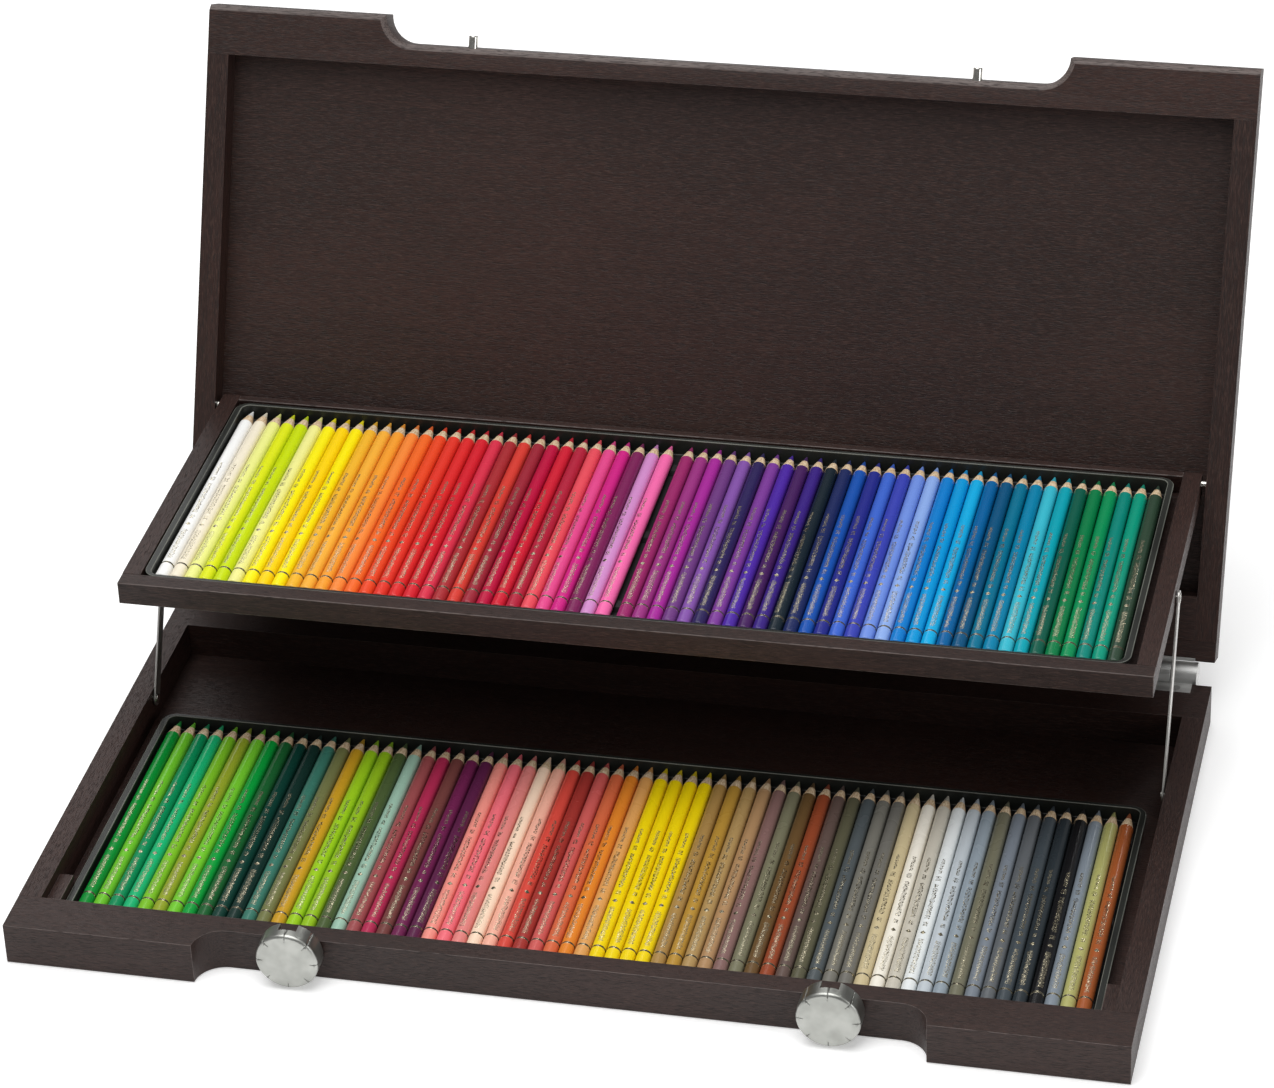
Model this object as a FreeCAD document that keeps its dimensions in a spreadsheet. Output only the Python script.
import FreeCAD, Part
import math
import os
import re

import Sketcher

# A flat wooden pencil case, drawn shut and then opened. Every piece is drawn where it lies in the shut case:
# X to the right from the middle, Y to the rear from the front face, Z up from the underside. The placement of
# its group then carries it to the open pose: the lid turns about the hinge axis, and the tray moves with the
# lid's arm but stays level. The model's origin is the centre of the base's underside.

SIZES = {
    # case
    "case_width": 574,
    "case_depth": 315,
    "base_height": 23,
    "lid_height": 17,
    "lid_gap": 0.3,
    "side_wall": 12,
    "front_rail": 26.5,
    "rear_rail": 31,
    "floor_thickness": 3.5,
    "board_rabbet": 6,
    "board_play": 0.2,
    "notch_half": 172,
    "notch_depth": 15,
    # lid
    "lid_recess": 13.5,
    "panel_thickness": 3,
    "lid_strip": 11,
    "hinge_block": 24,
    "lid_open": 114,
    # hinges
    "hinge_setback": 8,
    "barrel_radius": 7.6,
    "barrel_length": 40,
    "hinge_inset": 8.5,
    "lid_knuckle": 12,
    "knuckle_gap": 0.3,
    "hinge_pin_radius": 2,
    "leaf_thickness": 2,
    "leaf_seat": 8,
    "leaf_inset": 2,
    "screw_radius": 1.2,
    "screw_length": 9,
    "screw_head_radius": 2.2,
    "screw_head_height": 1,
    "screw_spread": 20,
    # fits
    "press_gap": 0.02,
    "running_gap": 0.05,
    "open_pivot_gap": 0.3,
    # linkage
    "pivot_inset": 5,
    "arm_rise": 3.85,
    "link_base_drop": 6.15,
    "link_width": 8,
    "link_thickness": 1,
    "link_pin_radius": 1.5,
    "link_head_radius": 2.6,
    "link_head_height": 0.45,
    "link_head_gap": 0.15,
    "pivot_pin_radius": 1.75,
    "pin_seat": 8,
    "tray_pin_seat": 6,
    # tray
    "tray_gap": 2.8,
    "tray_front_gap": 1.5,
    "tray_height": 12.8,
    "tray_bottom": 17.7,
    "tray_front": 9.8,
    "tray_rear": 4.6,
    "tray_side": 9.85,
    "tray_floor_lift": 0.4,
    "tray_floor_thickness": 1.8,
    "tray_rabbet": 2.5,
    "rest_width": 7.5,
    "rest_length": 28.5,
    "rest_gap": 0.3,
    # tins
    "tin_sheet": 0.6,
    "tin_lip": 2.2,
    "tin_rim_height": 1.2,
    "tin_rim_round": 0.45,
    "tin_corner": 8,
    "lower_tin_side": 8,
    "lower_tin_height": 11.5,
    "lower_tin_gap": 1.5,
    "upper_tin_height": 10,
    "tin_play": 0.5,
    # inserts
    "insert_play": 0.3,
    "insert_sheet": 0.5,
    "insert_bar": 9,
    "bar_margin": 24,
    "bar_top_drop": 1.8,
    "groove_gap": 0.15,
    # pencils
    "pencil_length": 174.5,
    "pencil_radius": 3.8,
    "pencil_cone": 19,
    "pencil_end_round": 0.6,
    "pencil_gap": 0.33,
    "pencil_lift": 0.75,
    "lead_radius": 1.7,
    "lead_tip_radius": 0.5,
    "row_play": 2.3,
    "upper_row_gap": 3.4,
    "lower_tip_play": 1.2,
    "lower_end_play": 5.7,
    "upper_tip_play": 0.5,
    "upper_end_play": 1,
    # knobs and catch pins
    "knob_spread": 138,
    "knob_height": 17.2,
    "knob_radius": 16.35,
    "knob_front": 2,
    "knob_rear_gap": 1.8,
    "knob_round": 2,
    "knob_hub_radius": 7,
    "knob_ring": 2.95,
    "knob_channel": 5.4,
    "knob_slot": 9.4,
    "knob_line_width": 0.6,
    "knob_line_depth": 0.35,
    "knob_tick_length": 4,
    "knob_line_count": 8,
    "spindle_radius": 3,
    "spindle_reach": 8,
    "spindle_seat": 10,
    "collar_radius": 6,
    "collar_gap": 0.3,
    "catch_radius": 2.6,
    "catch_reach": 6.8,
    "catch_rise": 4.2,
    "catch_chamfer": 0.5,
}

# Places that several pieces share, worked out from the sizes.
HALF = "case_width / 2"
WELL = "(case_width / 2 - side_wall)"
WELL_REAR = "(case_depth - rear_rail)"
BOARD_X = "(case_width / 2 - side_wall + board_rabbet)"
FLOOR_TOP = "floor_thickness"
LID_RIM = "(base_height + lid_gap)"
LID_LEDGE = "(base_height + lid_gap + lid_recess)"
LID_TOP = "(base_height + lid_gap + lid_height)"
STRIP_FRONT = "(case_depth - lid_strip)"
AXIS_Y = "(case_depth + hinge_setback)"
AXIS_Z = "(base_height + lid_gap / 2)"
BARREL_END = "(case_width / 2 - hinge_inset)"
PENCIL_PITCH = "(2 * pencil_radius + pencil_gap)"
TIN_EDGE = "(tin_lip + tin_sheet)"
TRAY_HALF = f"({WELL} - tray_gap)"
TRAY_FRONT_Y = "(front_rail + tray_front_gap)"
UPPER_TIN_DEPTH = f"(pencil_length + upper_tip_play + upper_end_play + 2 * {TIN_EDGE})"
TRAY_REAR_Y = f"({TRAY_FRONT_Y} + tray_front + {UPPER_TIN_DEPTH} + 2 * tin_play + tray_rear)"
PIVOT_Y = f"({TRAY_REAR_Y} - pivot_inset)"
PIVOT_Z = f"({AXIS_Z} + arm_rise)"
ARM_REACH = f"({AXIS_Y} - {PIVOT_Y})"
LINK_Y = PIVOT_Y
LINK_Z = f"({AXIS_Z} - link_base_drop)"
TRAY_INNER = f"({TRAY_HALF} - tray_side)"
TRAY_FLOOR_TOP = "(tray_bottom + tray_floor_lift + tray_floor_thickness)"
LINK_X = f"({WELL} - tray_gap / 2)"
KNOB_REAR = "(notch_depth - knob_rear_gap)"
SIDES = (("left", -1), ("right", 1))

doc = FreeCAD.newDocument("PencilCase")
sheet = doc.addObject("Spreadsheet::Sheet", "Sizes")
for row, (alias, number) in enumerate(SIZES.items(), start=1):
    sheet.set(f"A{row}", alias)
    sheet.set(f"B{row}", str(number))
    sheet.setAlias(f"B{row}", alias)
doc.recompute()

nodes = []


# ---------------------------------------------------------------- expressions
def bound(text):
    """The expression with every size written as a cell of the sheet."""
    return re.sub(r"[a-z]+(_[a-z]+)+", r"Sizes.\g<0>", str(text))


def value(text):
    """The number that an expression of sizes comes to now."""
    return float(sheet.evalExpression(bound(text)))


def bind(obj, prop, text):
    """Tie a property to an expression of sizes."""
    obj.setExpression(prop, bound(text))


# ----------------------------------------------------------------- the groups
def carried(group, x, y, z):
    """Where a point of the shut case lies in the open one, as three expressions in the model's frame.

    The lid's points turn by lid_open about the hinge axis. The tray's move as the end of the lid's arm moves.
    """
    to_frame = "case_depth / 2"
    if group == "lid":
        dy = f"(({y}) - {AXIS_Y})"
        dz = f"(({z}) - {AXIS_Z})"
        turned_y = f"{AXIS_Y} - {to_frame} + {dy} * cos(lid_open) + {dz} * sin(lid_open)"
        turned_z = f"{AXIS_Z} - {dy} * sin(lid_open) + {dz} * cos(lid_open)"
        return x, turned_y, turned_z
    if group == "tray":
        back = f"{ARM_REACH} * (1 - cos(lid_open)) + arm_rise * sin(lid_open)"
        up = f"{ARM_REACH} * sin(lid_open) + arm_rise * (cos(lid_open) - 1)"
        return x, f"({y}) - {to_frame} + {back}", f"({z}) + {up}"
    return x, f"({y}) - {to_frame}", z


def seat(obj, group, x="0", y="0", z="0", turn="0"):
    """Place an object by its own origin's place in the shut case, in its group, and list it as a node."""
    if group == "lid":
        turn = "-lid_open"
    obj.Placement = FreeCAD.Placement(
        FreeCAD.Vector(), FreeCAD.Rotation(FreeCAD.Vector(1, 0, 0), value(turn))
    )
    for axis, text in zip("xyz", carried(group, x, y, z)):
        bind(obj, f"Placement.Base.{axis}", text)
    if value(turn):
        bind(obj, "Placement.Rotation.Angle", turn)
    nodes.append(obj)


# ------------------------------------------------------------ sketch and solid
def new_body(label):
    body = doc.addObject("PartDesign::Body", label)
    body.Label = label
    return body


def origin_part(body, role):
    return next(part for part in body.Origin.OriginFeatures if part.Role == role)


def new_sketch(body, plane, offset="0"):
    """An empty sketch on one of the body's origin planes, offset along that plane's axis of the frame.

    The XZ plane's own normal is -Y, so its offset is turned to count along +Y as well.
    """
    sketch = body.newObject("Sketcher::SketchObject", f"{body.Label}_sketch")
    sketch.AttachmentSupport = [(origin_part(body, f"{plane}_Plane"), "")]
    sketch.MapMode = "FlatFace"
    bind(sketch, "AttachmentOffset.Base.z", f"-({offset})" if plane == "XZ" else offset)
    return sketch


def hold(sketch, kind, place, text):
    """Add a dimension and tie it to an expression."""
    index = sketch.addConstraint(Sketcher.Constraint(kind, *place, value(text)))
    bind(sketch, f"Constraints[{index}]", text)


def hold_point(sketch, geometry, end, point):
    hold(sketch, "DistanceX", (-1, 1, geometry, end), point[0])
    hold(sketch, "DistanceY", (-1, 1, geometry, end), point[1])


def outline(sketch, corners, arcs=None):
    """A closed outline through the corners. arcs gives, for the stretch after a corner, (centre, radius, side).

    side is 1 where the arc runs anticlockwise from that corner to the next, and -1 where it runs clockwise.
    """
    arcs = arcs or {}
    spots = [FreeCAD.Vector(value(u), value(v), 0) for u, v in corners]
    starts = []
    for index, start in enumerate(spots):
        end = spots[(index + 1) % len(spots)]
        if index in arcs:
            (u, v), radius, side = arcs[index]
            centre = FreeCAD.Vector(value(u), value(v), 0)
            first, last = (start, end) if side > 0 else (end, start)
            angles = [math.atan2(spot.y - centre.y, spot.x - centre.x) for spot in (first, last)]
            if angles[1] < angles[0]:
                angles[1] += 2 * math.pi
            circle = Part.Circle(centre, FreeCAD.Vector(0, 0, 1), value(radius))
            geometry = sketch.addGeometry(Part.ArcOfCircle(circle, *angles), False)
            hold(sketch, "Radius", (geometry,), radius)
            starts.append((geometry, 1 if side > 0 else 2, 2 if side > 0 else 1))
        else:
            geometry = sketch.addGeometry(Part.LineSegment(start, end), False)
            starts.append((geometry, 1, 2))
    for index, (geometry, first, last) in enumerate(starts):
        following = starts[(index + 1) % len(starts)]
        sketch.addConstraint(Sketcher.Constraint("Coincident", geometry, last, following[0], following[1]))
        hold_point(sketch, geometry, first, corners[index])


def rectangle(sketch, u0, u1, v0, v1):
    outline(sketch, [(u0, v0), (u1, v0), (u1, v1), (u0, v1)])


def rounded(sketch, half, y0, y1, radius):
    """A rectangle from -half to half and y0 to y1 with round corners."""
    near, far = f"-({half}) + {radius}", f"({half}) - {radius}"
    low, high = f"({y0}) + {radius}", f"({y1}) - {radius}"
    corners = [(near, y0), (far, y0), (half, low), (half, high), (far, y1), (near, y1), (f"-({half})", high),
               (f"-({half})", low)]
    arcs = {1: ((far, low), radius, 1), 3: ((far, high), radius, 1), 5: ((near, high), radius, 1),
            7: ((near, low), radius, 1)}
    outline(sketch, corners, arcs)


def circles(sketch, spots, radius):
    for u, v in spots:
        centre = FreeCAD.Vector(value(u), value(v), 0)
        circle = Part.Circle(centre, FreeCAD.Vector(0, 0, 1), value(radius))
        geometry = sketch.addGeometry(circle, False)
        hold(sketch, "Radius", (geometry,), radius)
        hold_point(sketch, geometry, 3, (u, v))


def grow(body, sketch, length):
    """A pad from the sketch towards the plus end of its plane's axis."""
    pad = body.newObject("PartDesign::Pad", f"{body.Label}_pad")
    pad.Profile = sketch
    bind(pad, "Length", length)
    pad.Reversed = sketch.AttachmentSupport[0][0].Role == "XZ_Plane"
    return pad


def carve(body, sketch, length, towards):
    """A pocket from the sketch, towards the plus (1) or minus (-1) end of its plane's axis."""
    pocket = body.newObject("PartDesign::Pocket", f"{body.Label}_pocket")
    pocket.Profile = sketch
    bind(pocket, "Length", length)
    along_normal = -towards if sketch.AttachmentSupport[0][0].Role == "XZ_Plane" else towards
    pocket.Reversed = along_normal > 0
    return pocket


def block(label, group, x, y, z):
    """A plain board between two places on each axis."""
    body = new_body(label)
    sketch = new_sketch(body, "XY", z[0])
    rectangle(sketch, x[0], x[1], y[0], y[1])
    grow(body, sketch, f"({z[1]}) - ({z[0]})")
    seat(body, group)
    return body


def side_span(side, inner, outer):
    """The two ends of a stretch of X on the left or the right, from low to high."""
    return (f"-({outer})", f"-({inner})") if side < 0 else (inner, outer)


def at_side(side, x):
    return f"-({x})" if side < 0 else x


# ---------------------------------------------------------------- case pieces
def notched_rail(label, group, low, height):
    """A front rail with the wide notch, whose ends sweep out in quarter circles."""
    body = new_body(label)
    sketch = new_sketch(body, "XY", low)
    mouth = "notch_half + notch_depth"
    corners = [(f"-{HALF}", "0"), (f"-({mouth})", "0"), ("-notch_half", "notch_depth"),
               ("notch_half", "notch_depth"), (mouth, "0"), (HALF, "0"), (HALF, "front_rail"),
               (f"-{HALF}", "front_rail")]
    arcs = {1: (("-notch_half", "0"), "notch_depth", -1), 3: (("notch_half", "0"), "notch_depth", -1)}
    outline(sketch, corners, arcs)
    grow(body, sketch, height)
    seat(body, group)
    return body


def front_holes(body, height, radius, depth):
    """Two holes into the notch's face, one for each knob's place."""
    sketch = new_sketch(body, "XZ", "notch_depth")
    circles(sketch, [("-knob_spread", height), ("knob_spread", height)], radius)
    carve(body, sketch, depth, 1)


def leaf_span(side):
    """The stretch of X that a hinge leaf's plate takes."""
    return side_span(side, f"{BARREL_END} - barrel_length + leaf_inset", f"{BARREL_END} - leaf_inset")


def screw_spots(side):
    """Where the two screws of a leaf go through it."""
    middle = at_side(side, f"({BARREL_END} - barrel_length / 2)")
    y = "case_depth - leaf_seat / 2"
    return [(f"{middle} - screw_spread / 2", y), (f"{middle} + screw_spread / 2", y)]


def hinge_seats(body, face, towards):
    """Mortises for both leaves in a rear rail, and the holes of their screws."""
    for name, side in SIDES:
        sketch = new_sketch(body, "XY", face)
        low, high = leaf_span(side)
        rectangle(sketch, low, high, "case_depth - leaf_seat", "case_depth")
        carve(body, sketch, "leaf_thickness", towards)
        sketch = new_sketch(body, "XY", face)
        circles(sketch, screw_spots(side), "screw_radius + press_gap")
        carve(body, sketch, "screw_length", towards)


def base_pieces():
    front = notched_rail("base_front_rail", "base", "0", "base_height")
    front_holes(front, "knob_height", "spindle_radius + press_gap", "spindle_seat")
    sketch = new_sketch(front, "XY", FLOOR_TOP)
    rectangle(sketch, f"-{BOARD_X}", BOARD_X, "front_rail - board_rabbet", "front_rail")
    carve(front, sketch, FLOOR_TOP, -1)

    rear = block("base_rear_rail", "base", (f"-{HALF}", HALF), (WELL_REAR, "case_depth"), ("0", "base_height"))
    sketch = new_sketch(rear, "XY", FLOOR_TOP)
    rectangle(sketch, f"-{BOARD_X}", BOARD_X, WELL_REAR, f"{WELL_REAR} + board_rabbet")
    carve(rear, sketch, FLOOR_TOP, -1)
    hinge_seats(rear, "base_height", -1)

    for name, side in SIDES:
        wall = new_body(f"base_{name}_wall")
        sketch = new_sketch(wall, "XZ", "front_rail")
        profile = [(WELL, FLOOR_TOP), (WELL, "base_height"), (HALF, "base_height"), (HALF, "0"), (BOARD_X, "0"),
                   (BOARD_X, FLOOR_TOP)]
        outline(sketch, [(at_side(side, x), z) for x, z in profile])
        grow(wall, sketch, f"{WELL_REAR} - front_rail")
        sketch = new_sketch(wall, "YZ", at_side(side, WELL))
        circles(sketch, [(LINK_Y, LINK_Z)], "link_pin_radius + press_gap")
        carve(wall, sketch, "pin_seat", side)
        seat(wall, "base")
        x = side_span(side, f"{WELL} - rest_width", WELL)
        y = ("front_rail", "front_rail + rest_length")
        block(f"{name}_tray_rest", "base", x, y, (FLOOR_TOP, "tray_bottom - rest_gap"))

    edge = f"({BOARD_X} - board_play)"
    y = ("front_rail - board_rabbet + board_play", f"{WELL_REAR} + board_rabbet - board_play")
    block("base_floor", "base", (f"-{edge}", edge), y, ("0", FLOOR_TOP))


def lid_pieces():
    front = notched_rail("lid_front_rail", "lid", LID_RIM, "lid_height")
    front_holes(front, f"{LID_RIM} + catch_rise", "catch_radius + press_gap", "pin_seat")
    sketch = new_sketch(front, "XY", LID_TOP)
    rectangle(sketch, f"-{BOARD_X}", BOARD_X, "front_rail - board_rabbet", "front_rail")
    carve(front, sketch, "lid_height - lid_recess", -1)

    rear = block("lid_rear_rail", "lid", (f"-{HALF}", HALF), (STRIP_FRONT, "case_depth"), (LID_RIM, LID_TOP))
    hinge_seats(rear, LID_RIM, 1)
    block("lid_hinge_block", "lid", (f"-{WELL}", WELL), (f"{STRIP_FRONT} - hinge_block", STRIP_FRONT),
          (LID_RIM, LID_LEDGE))

    for name, side in SIDES:
        stile = new_body(f"lid_{name}_stile")
        sketch = new_sketch(stile, "XZ", "front_rail")
        profile = [(WELL, LID_RIM), (HALF, LID_RIM), (HALF, LID_TOP), (BOARD_X, LID_TOP), (BOARD_X, LID_LEDGE),
                   (WELL, LID_LEDGE)]
        outline(sketch, [(at_side(side, x), z) for x, z in profile])
        grow(stile, sketch, f"{STRIP_FRONT} - front_rail")
        sketch = new_sketch(stile, "YZ", at_side(side, WELL))
        circles(sketch, [(PIVOT_Y, PIVOT_Z)], "pivot_pin_radius + press_gap")
        carve(stile, sketch, "pin_seat", side)
        seat(stile, "lid")

        catch = new_body(f"{name}_catch_pin")
        sketch = new_sketch(catch, "XZ", "notch_depth - catch_reach")
        circles(sketch, [(at_side(side, "knob_spread"), f"{LID_RIM} + catch_rise")], "catch_radius")
        grow(catch, sketch, "catch_reach + pin_seat")
        soften(catch, "PartDesign::Chamfer", "Size", "catch_chamfer", "Y", "notch_depth - catch_reach")
        seat(catch, "lid")

    edge = f"({BOARD_X} - board_play)"
    block("lid_panel", "lid", (f"-{edge}", edge), ("front_rail - board_rabbet + board_play", STRIP_FRONT),
          (LID_LEDGE, f"{LID_LEDGE} + panel_thickness"))


def soften(body, kind, prop, size, axis, level):
    """Round or chamfer every edge that lies in the plane axis = level."""
    doc.recompute()
    base = body.Tip
    chosen = []
    for index, edge in enumerate(base.Shape.Edges, start=1):
        box = edge.BoundBox
        low, high = getattr(box, f"{axis}Min"), getattr(box, f"{axis}Max")
        if abs(low - value(level)) < 1e-4 and abs(high - value(level)) < 1e-4:
            chosen.append(f"Edge{index}")
    feature = body.newObject(kind, f"{body.Label}_edge")
    feature.Base = (base, chosen)
    bind(feature, prop, size)
    return feature


# -------------------------------------------------------------------- hinges
def hinge_pieces():
    for name, side in SIDES:
        inner, outer = f"({BARREL_END} - barrel_length)", BARREL_END
        middle = f"({BARREL_END} - barrel_length / 2)"
        low, high = side_span(side, inner, outer)
        plate_low, plate_high = leaf_span(side)
        axis = [(AXIS_Y, AXIS_Z)]
        clear = "barrel_radius + knuckle_gap"

        leaf = new_body(f"{name}_hinge_base_leaf")
        sketch = new_sketch(leaf, "YZ", low)
        circles(sketch, axis, "barrel_radius")
        grow(leaf, sketch, "barrel_length")
        add_plate(leaf, side, ("base_height - leaf_thickness", "base_height"))
        knuckle_low, knuckle_high = side_span(side, f"{middle} - lid_knuckle / 2 - knuckle_gap",
                                              f"{middle} + lid_knuckle / 2 + knuckle_gap")
        sketch = new_sketch(leaf, "YZ", knuckle_low)
        circles(sketch, axis, clear)
        carve(leaf, sketch, "lid_knuckle + 2 * knuckle_gap", 1)
        bore(leaf, low, "hinge_pin_radius + press_gap")
        screw_holes(leaf, side, "base_height", -1)
        seat(leaf, "base")

        leaf = new_body(f"{name}_hinge_lid_leaf")
        add_plate(leaf, side, (LID_RIM, f"{LID_RIM} + leaf_thickness"))
        knuckle_low, knuckle_high = side_span(side, f"{middle} - lid_knuckle / 2", f"{middle} + lid_knuckle / 2")
        for start, end in ((low, knuckle_low), (knuckle_high, high)):
            sketch = new_sketch(leaf, "YZ", start)
            circles(sketch, axis, clear)
            carve(leaf, sketch, f"({end}) - ({start})", 1)
        sketch = new_sketch(leaf, "YZ", knuckle_low)
        circles(sketch, axis, "barrel_radius")
        grow(leaf, sketch, "lid_knuckle")
        bore(leaf, low, "hinge_pin_radius + running_gap")
        screw_holes(leaf, side, LID_RIM, 1)
        seat(leaf, "lid")

        pin = new_body(f"{name}_hinge_pin")
        sketch = new_sketch(pin, "YZ", low)
        circles(sketch, axis, "hinge_pin_radius")
        grow(pin, sketch, "barrel_length")
        seat(pin, "base")


def add_plate(leaf, side, z):
    """The flat plate of a leaf, from its seat in the rail to the hinge axis."""
    low, high = leaf_span(side)
    sketch = new_sketch(leaf, "YZ", f"{low} + press_gap")
    rectangle(sketch, "case_depth - leaf_seat + press_gap", AXIS_Y, z[0], z[1])
    grow(leaf, sketch, f"({high}) - ({low}) - 2 * press_gap")


def bore(leaf, start, radius):
    sketch = new_sketch(leaf, "YZ", start)
    circles(sketch, [(AXIS_Y, AXIS_Z)], radius)
    carve(leaf, sketch, "barrel_length", 1)


def screw_holes(leaf, side, face, towards):
    """A hole and a wider seat for each screw's head, sunk into the leaf from its open face."""
    for radius, depth in (("screw_radius", "leaf_thickness"), ("screw_head_radius", "screw_head_height")):
        sketch = new_sketch(leaf, "XY", face)
        circles(sketch, screw_spots(side), f"{radius} + press_gap")
        carve(leaf, sketch, depth, towards)


def screw_group(label, group, face, towards):
    """The four screws of one pair of leaves, each a head and a shank of its own solid."""
    down = FreeCAD.Vector(0, 0, towards)
    screws = []
    for name, side in SIDES:
        for x, y in screw_spots(side):
            top = FreeCAD.Vector(value(x), value(y), value(face))
            shank = Part.makeCylinder(value("screw_radius"), value("screw_length"), top, down)
            head = Part.makeCylinder(value("screw_head_radius"), value("screw_head_height"), top, down)
            screws.append(shank.fuse(head).removeSplitter())
    piece = doc.addObject("Part::Feature", label)
    piece.Label = label
    piece.Shape = Part.makeCompound(screws)
    seat(piece, group)


# ------------------------------------------------------------- tray and links
def tray_pieces():
    top = "tray_bottom + tray_height"
    inner_rear = f"({TRAY_REAR_Y} - tray_rear)"
    inner_front = f"({TRAY_FRONT_Y} + tray_front)"
    ledge = f"({TRAY_INNER} + tray_rabbet)"

    front = block("tray_front_rail", "tray", (f"-{TRAY_HALF}", TRAY_HALF), (TRAY_FRONT_Y, inner_front),
                  ("tray_bottom", top))
    rear = block("tray_rear_rail", "tray", (f"-{TRAY_INNER}", TRAY_INNER), (inner_rear, TRAY_REAR_Y),
                 ("tray_bottom", top))
    for rail, edge, y in ((front, ledge, (f"{inner_front} - tray_rabbet", inner_front)),
                          (rear, TRAY_INNER, (inner_rear, f"{inner_rear} + tray_rabbet"))):
        sketch = new_sketch(rail, "XY", TRAY_FLOOR_TOP)
        rectangle(sketch, f"-{edge}", edge, y[0], y[1])
        carve(rail, sketch, "tray_floor_lift + tray_floor_thickness", -1)

    for name, side in SIDES:
        rail = new_body(f"tray_{name}_rail")
        sketch = new_sketch(rail, "XZ", inner_front)
        profile = [(TRAY_INNER, TRAY_FLOOR_TOP), (TRAY_INNER, top), (TRAY_HALF, top), (TRAY_HALF, "tray_bottom"),
                   (ledge, "tray_bottom"), (ledge, TRAY_FLOOR_TOP)]
        outline(sketch, [(at_side(side, x), z) for x, z in profile])
        grow(rail, sketch, f"{TRAY_REAR_Y} - {inner_front}")
        for spot, radius in (((PIVOT_Y, PIVOT_Z), "pivot_pin_radius + running_gap"),
                             (tray_pin_spot(), "link_pin_radius + press_gap")):
            sketch = new_sketch(rail, "YZ", at_side(side, TRAY_HALF))
            circles(sketch, [spot], radius)
            carve(rail, sketch, "tray_pin_seat", -side)
        seat(rail, "tray")

    edge = f"({ledge} - board_play)"
    y = (f"{inner_front} - tray_rabbet + board_play", f"{inner_rear} + tray_rabbet - board_play")
    block("tray_floor", "tray", (f"-{edge}", edge), y, ("tray_bottom + tray_floor_lift", TRAY_FLOOR_TOP))


def tray_pin_spot():
    """The tray's lower pivot: the link's base pin moved along the lid's arm."""
    return f"{LINK_Y} - {ARM_REACH}", f"{LINK_Z} + arm_rise"


def round_pin(label, group, spot, stretches):
    """A pin along X made of one or more round stretches (low x, high x, radius)."""
    pin = new_body(label)
    for low, high, radius in stretches:
        sketch = new_sketch(pin, "YZ", low)
        circles(sketch, [spot], radius)
        grow(pin, sketch, f"({high}) - ({low})")
    seat(pin, group)


def linkage_pieces():
    inner_face = f"({LINK_X} - link_thickness / 2 - link_head_gap)"
    outer_face = f"({LINK_X} + link_thickness / 2 + link_head_gap)"
    reach = f"sqrt({ARM_REACH} ^ 2 + arm_rise ^ 2)"
    for name, side in SIDES:
        link = new_body(f"{name}_link")
        face = at_side(side, LINK_X) + " - link_thickness / 2"
        sketch = new_sketch(link, "YZ", face)
        rectangle(sketch, f"-{reach}", "0", "-link_width / 2", "link_width / 2")
        grow(link, sketch, "link_thickness")
        sketch = new_sketch(link, "YZ", face)
        circles(sketch, [(f"-{reach}", "0"), ("0", "0")], "link_width / 2")
        grow(link, sketch, "link_thickness")
        for y, gap in (("0", "running_gap"), (f"-{reach}", "open_pivot_gap")):
            sketch = new_sketch(link, "YZ", face)
            circles(sketch, [(y, "0")], f"link_pin_radius + {gap}")
            carve(link, sketch, "link_thickness", 1)
        seat(link, "base", y=LINK_Y, z=LINK_Z, turn=f"-lid_open * 1 deg - atan(arm_rise / {ARM_REACH})")

        shank = side_span(side, inner_face, f"{WELL} + pin_seat")
        head = side_span(side, f"{inner_face} - link_head_height", inner_face)
        round_pin(f"{name}_link_base_pin", "base", (LINK_Y, LINK_Z),
                  [(*shank, "link_pin_radius"), (*head, "link_head_radius")])
        shank = side_span(side, f"{TRAY_HALF} - tray_pin_seat", outer_face)
        head = side_span(side, outer_face, f"{outer_face} + link_head_height")
        round_pin(f"{name}_link_tray_pin", "tray", tray_pin_spot(),
                  [(*shank, "link_pin_radius"), (*head, "link_head_radius")])
        shank = side_span(side, f"{TRAY_HALF} - tray_pin_seat + running_gap", f"{WELL} + pin_seat")
        round_pin(f"{name}_tray_pivot_pin", "lid", (PIVOT_Y, PIVOT_Z), [(*shank, "pivot_pin_radius")])


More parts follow.
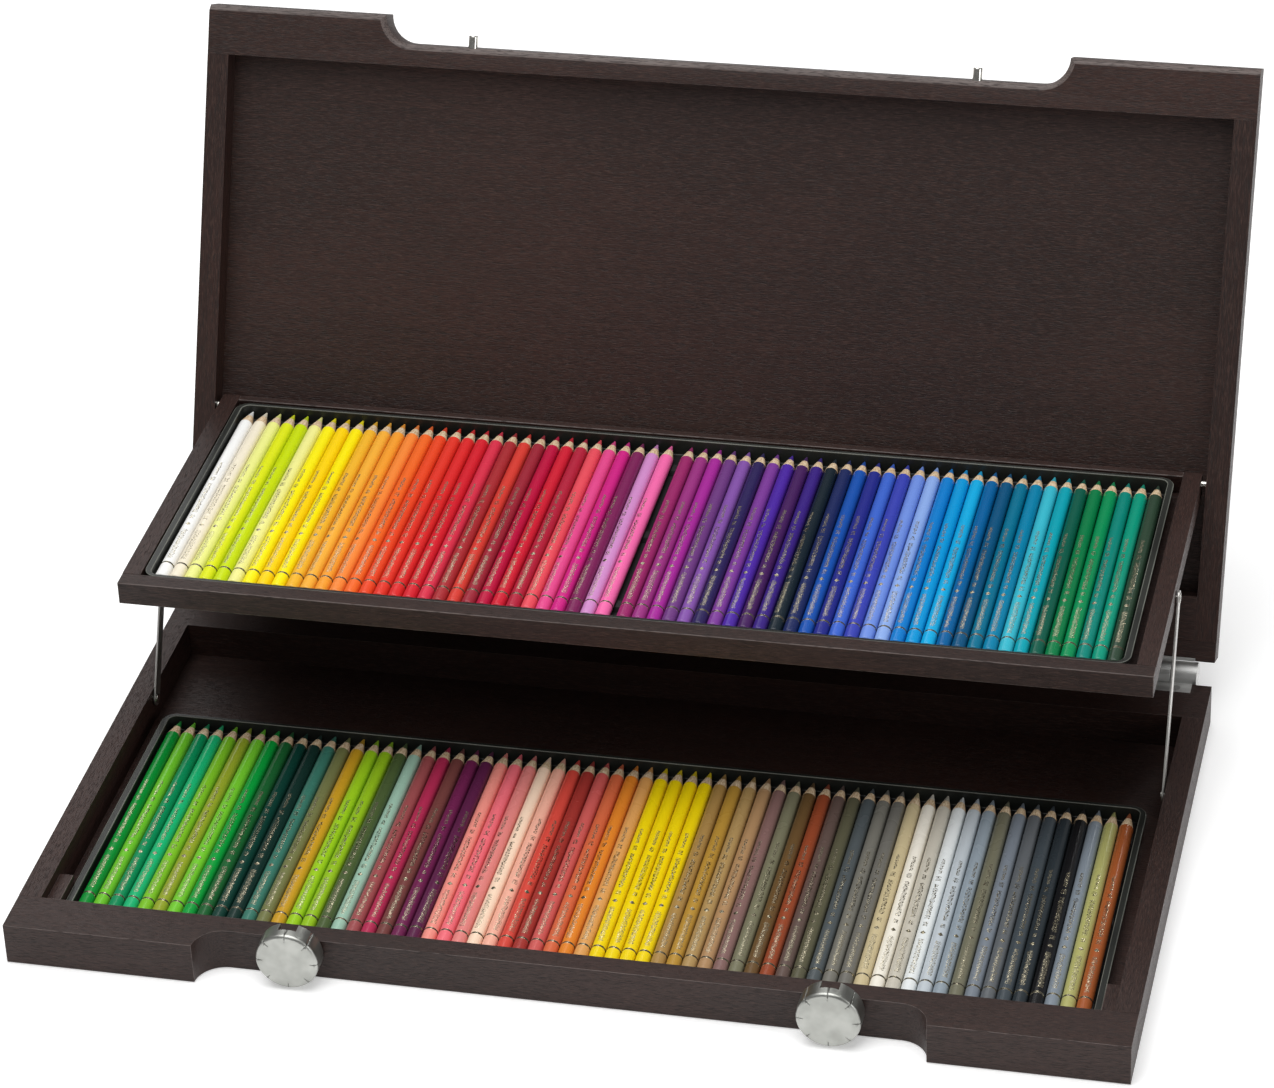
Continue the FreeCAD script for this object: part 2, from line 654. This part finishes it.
# ---------------------------------------------------------- tins and pencils
def tin_row(level, group, half, y, z, height, rows, tip_y):
    """A tin, its grooved insert, its pencils and their leads. rows holds (first x, count)."""
    tin = new_body(f"{level}_tin")
    rim_top = f"({z} + {height})"
    for low, inset, length in ((z, "tin_lip", height),
                               (f"{rim_top} - tin_rim_height", "0", "tin_rim_height")):
        sketch = new_sketch(tin, "XY", low)
        rounded(sketch, f"{half} - {inset}", f"{y[0]} + {inset}", f"{y[1]} - {inset}", f"(tin_corner - {inset})")
        grow(tin, sketch, length)
    sketch = new_sketch(tin, "XY", rim_top)
    rounded(sketch, f"{half} - {TIN_EDGE}", f"{y[0]} + {TIN_EDGE}", f"{y[1]} - {TIN_EDGE}",
            f"(tin_corner - {TIN_EDGE})")
    carve(tin, sketch, f"{height} - tin_sheet", -1)
    soften(tin, "PartDesign::Fillet", "Radius", "tin_rim_round", "Z", rim_top)
    seat(tin, group)

    sheet_top = f"({z} + tin_sheet + insert_sheet)"
    axis_z = f"({sheet_top} + pencil_lift + pencil_radius)"
    insert = new_body(f"{level}_insert")
    sketch = new_sketch(insert, "XY", f"{z} + tin_sheet")
    inset = f"({TIN_EDGE} + insert_play)"
    rounded(sketch, f"{half} - {inset}", f"{y[0]} + {inset}", f"{y[1]} - {inset}", f"(tin_corner - {inset})")
    grow(insert, sketch, "insert_sheet")
    centre = f"(({y[0]} + {y[1]}) / 2)"
    for start in (f"{y[0]} + bar_margin - insert_bar", f"{centre} - insert_bar / 2", f"{y[1]} - bar_margin"):
        sketch = new_sketch(insert, "XY", sheet_top)
        rectangle(sketch, f"-({half} - {inset})", f"{half} - {inset}", start, f"{start} + insert_bar")
        grow(insert, sketch, f"{axis_z} - bar_top_drop - {sheet_top}")
    for first, count in rows:
        sketch = new_sketch(insert, "XZ", f"{y[0]}")
        circles(sketch, [(first, axis_z)], "pencil_radius + groove_gap")
        groove = carve(insert, sketch, f"{y[1]} - {y[0]}", 1)
        pattern = insert.newObject("PartDesign::LinearPattern", f"{level}_grooves")
        pattern.Originals = [groove]
        pattern.Direction = (origin_part(insert, "X_Axis"), [""])
        bind(pattern, "Occurrences", count)
        bind(pattern, "Length", f"({count} - 1) * {PENCIL_PITCH}")
        insert.Tip = pattern
    seat(insert, group)

    places = [value(first) + index * value(PENCIL_PITCH)
              for first, count in rows for index in range(round(value(count)))]
    for label, shape in ((f"{level}_pencils", pencil_wood()), (f"{level}_pencil_leads", pencil_lead())):
        row = [shape.translated(FreeCAD.Vector(x, value(tip_y), value(axis_z))) for x in places]
        piece = doc.addObject("Part::Feature", label)
        piece.Label = label
        piece.Shape = Part.makeCompound(row)
        seat(piece, group)


def turned(profile):
    """The solid that a closed profile of (radius, y) makes about the Y axis."""
    points = [FreeCAD.Vector(radius, y, 0) for radius, y in profile]
    face = Part.Face(Part.makePolygon(points + points[:1]))
    return face.revolve(FreeCAD.Vector(), FreeCAD.Vector(0, 1, 0), 360)


def cone_radius(y):
    """The cone's radius at y, which is 0 at the tip and falls towards the flat end."""
    share = -y / value("pencil_cone")
    return value("lead_tip_radius") + share * (value("pencil_radius") - value("lead_tip_radius"))


def lead_shoulder():
    """How far in front of the tip the lead comes out of the wood."""
    rise = value("pencil_radius") - value("lead_tip_radius")
    return -value("pencil_cone") * (value("lead_radius") - value("lead_tip_radius")) / rise


def pencil_wood():
    """One pencil's wood, its tip at the origin and its flat end towards -Y, bored for the lead."""
    radius, end = value("pencil_radius"), -value("pencil_length")
    core, chamfer = value("lead_radius") + value("press_gap"), value("pencil_end_round")
    mouth = lead_shoulder() - value("press_gap") * value("pencil_cone") / radius
    return turned([(core, end), (radius - chamfer, end), (radius, end + chamfer), (radius, -value("pencil_cone")),
                   (cone_radius(mouth), mouth), (core, mouth)])


def pencil_lead():
    """One pencil's lead, from the flat end to the point."""
    core, end = value("lead_radius"), -value("pencil_length")
    return turned([(0, end), (core, end), (core, lead_shoulder()), (value("lead_tip_radius"), 0), (0, 0)])


def tins():
    """Both rows. As many pencils lie side by side as the tin's inner width takes."""
    pencil = "2 * pencil_radius"
    half = f"({WELL} - lower_tin_side)"
    depth = f"(pencil_length + lower_tip_play + lower_end_play + 2 * {TIN_EDGE})"
    front = "(front_rail + lower_tin_gap)"
    count = f"(floor((2 * ({half} - {TIN_EDGE} - row_play) - {pencil}) / {PENCIL_PITCH}) + 1)"
    first = f"-({count} - 1) * {PENCIL_PITCH} / 2"
    tin_row("lower", "base", half, (front, f"({front} + {depth})"), FLOOR_TOP, "lower_tin_height",
            [(first, count)], f"{front} + {depth} - {TIN_EDGE} - lower_tip_play")

    half = f"({TRAY_INNER} - tin_play)"
    inner = f"({half} - {TIN_EDGE})"
    front = f"({TRAY_FRONT_Y} + tray_front + tin_play)"
    left = f"floor(({inner} - row_play - upper_row_gap) / {PENCIL_PITCH})"
    right = f"floor((2 * {inner} - 2 * row_play - upper_row_gap - {left} * {PENCIL_PITCH}) / {PENCIL_PITCH})"
    first = f"(-{inner} + row_play + pencil_radius)"
    second = f"({first} + {left} * {PENCIL_PITCH} + upper_row_gap)"
    tin_row("upper", "tray", half, (front, f"({front} + {UPPER_TIN_DEPTH})"), TRAY_FLOOR_TOP, "upper_tin_height",
            [(first, left), (second, right)], f"{front} + {UPPER_TIN_DEPTH} - {TIN_EDGE} - upper_tip_play")


# --------------------------------------------------------------------- knobs
def knob_pieces():
    channel = f"({KNOB_REAR} - knob_channel)"
    ring_inner = "(knob_radius - knob_ring)"
    bore_radius = "(spindle_radius + running_gap)"
    bore_end = "(notch_depth - spindle_reach - collar_gap)"
    for name, side in SIDES:
        knob = new_body(f"{name}_knob")
        sketch = new_sketch(knob, "YZ")
        outline(sketch, [("knob_front", "0"), (bore_end, "0"), (bore_end, bore_radius), (KNOB_REAR, bore_radius),
                         (KNOB_REAR, "knob_hub_radius"), (channel, "knob_hub_radius"), (channel, ring_inner),
                         (KNOB_REAR, ring_inner), (KNOB_REAR, "knob_radius"), ("knob_front", "knob_radius")])
        turn = knob.newObject("PartDesign::Revolution", f"{name}_knob_turn")
        turn.Profile = sketch
        turn.ReferenceAxis = (origin_part(knob, "Y_Axis"), [""])
        turn.Angle = 360
        soften(knob, "PartDesign::Fillet", "Radius", "knob_round", "Y", "knob_front")

        sketch = new_sketch(knob, "XZ", KNOB_REAR)
        rectangle(sketch, "-knob_slot / 2", "knob_slot / 2", f"{ring_inner} - knob_ring / 2", "knob_radius + 1")
        carve(knob, sketch, "knob_channel", -1)
        sketch = new_sketch(knob, "XZ", KNOB_REAR)
        low = "knob_radius - knob_line_depth"
        rectangle(sketch, "-knob_line_width / 2", "knob_line_width / 2", low, "knob_radius + 1")
        line = carve(knob, sketch, f"{KNOB_REAR} - knob_front", -1)
        sketch = new_sketch(knob, "XZ", "knob_front")
        rectangle(sketch, "-knob_line_width / 2", "knob_line_width / 2", "knob_radius - knob_tick_length",
                  "knob_radius")
        tick = carve(knob, sketch, "knob_line_depth", 1)
        pattern = knob.newObject("PartDesign::PolarPattern", f"{name}_knob_lines")
        pattern.Originals = [line, tick]
        pattern.Axis = (origin_part(knob, "Y_Axis"), [""])
        pattern.Angle = 360
        bind(pattern, "Occurrences", "knob_line_count")
        knob.Tip = pattern
        place = at_side(side, "knob_spread")
        seat(knob, "base", x=place, z="knob_height")

        spindle = new_body(f"{name}_knob_spindle")
        for start, end, radius in ((f"{bore_end} + collar_gap", "notch_depth + spindle_seat", "spindle_radius"),
                                   (f"{KNOB_REAR} + collar_gap", "notch_depth", "collar_radius")):
            sketch = new_sketch(spindle, "XZ", start)
            circles(sketch, [("0", "0")], radius)
            grow(spindle, sketch, f"({end}) - ({start})")
        seat(spindle, "base", x=place, z="knob_height")


# ---------------------------------------------------------- build and export
base_pieces()
lid_pieces()
hinge_pieces()
screw_group("base_hinge_screws", "base", "base_height", -1)
screw_group("lid_hinge_screws", "lid", LID_RIM, 1)
tray_pieces()
linkage_pieces()
tins()
knob_pieces()
doc.recompute()

for obj in doc.Objects:
    if "Invalid" in obj.State or "Error" in obj.State:
        raise RuntimeError(f"{obj.Label} failed: {obj.State}")
    if obj.TypeId == "PartDesign::Pocket" and obj.Shape.Volume > obj.BaseFeature.Shape.Volume - 1e-3:
        raise RuntimeError(f"{obj.Label} cuts nothing")
for node in nodes:
    if node.Shape.isNull() or not node.Shape.isValid():
        raise RuntimeError(f"{node.Label} has no valid shape")

os.makedirs("parts", exist_ok=True)
for node in nodes:
    node.Shape.exportStep(f"parts/{node.Label}.step")
print(len(nodes), "nodes written")
